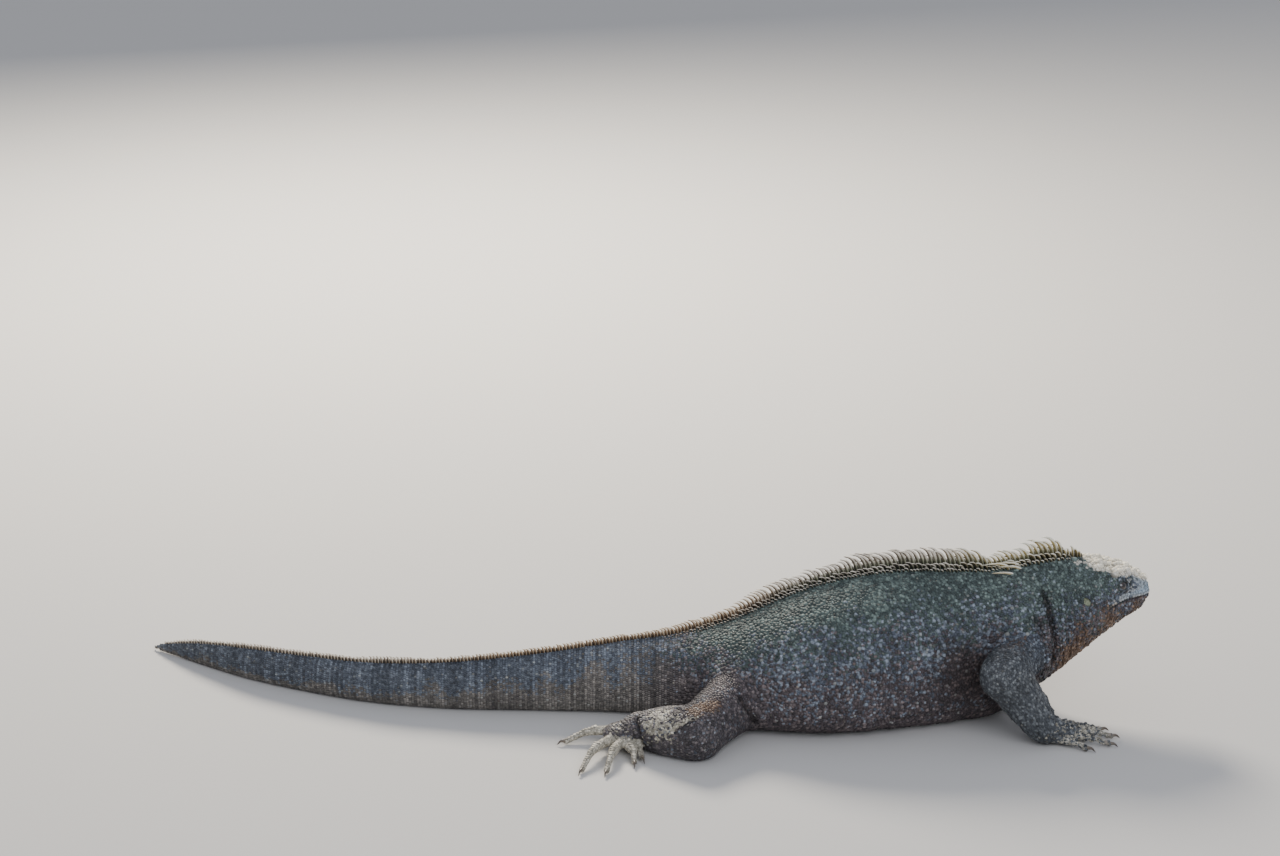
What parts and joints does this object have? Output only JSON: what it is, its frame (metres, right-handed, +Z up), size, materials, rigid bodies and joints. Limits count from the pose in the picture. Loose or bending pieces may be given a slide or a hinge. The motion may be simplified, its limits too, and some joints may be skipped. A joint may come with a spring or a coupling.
{
  "type": "marine iguana",
  "caption": "Life-size model of an adult marine iguana at rest on its belly: raised head, spiny crest from nape to tail, sprawled clawed legs and a long flattened tail.",
  "frame": {"origin": "on the flat of the belly, at the level of the floor, midway along the trunk under the spine", "axes": "+X from tail to head, +Y to the animal's left, +Z up"},
  "size_m": [1.1209, 0.3876, 0.2055],
  "materials": {
    "skin": "matte",
    "crest": "satin",
    "claw": "satin",
    "eye": "gloss"
  },
  "bodies": {
    "root": {"tail_tip": "skin", "tail_middle": "skin", "tail_base": "skin", "torso": "skin", "neck": "skin", "head": "skin", "eye_right": "eye", "eye_left": "eye", "upper_arm_front_right": "skin", "forearm_front_right": "skin", "hand_front_right": "skin", "claw_front_right_1": "claw", "claw_front_right_2": "claw", "claw_front_right_3": "claw", "claw_front_right_4": "claw", "claw_front_right_5": "claw", "upper_arm_front_left": "skin", "forearm_front_left": "skin", "hand_front_left": "skin", "claw_front_left_1": "claw", "claw_front_left_2": "claw", "claw_front_left_3": "claw", "claw_front_left_4": "claw", "claw_front_left_5": "claw", "thigh_hind_right": "skin", "shank_hind_right": "skin", "foot_hind_right": "skin", "claw_hind_right_1": "claw", "claw_hind_right_2": "claw", "claw_hind_right_3": "claw", "claw_hind_right_4": "claw", "claw_hind_right_5": "claw", "thigh_hind_left": "skin", "shank_hind_left": "skin", "foot_hind_left": "skin", "claw_hind_left_1": "claw", "claw_hind_left_2": "claw", "claw_hind_left_3": "claw", "claw_hind_left_4": "claw", "claw_hind_left_5": "claw"}
  },
  "joints": []
}
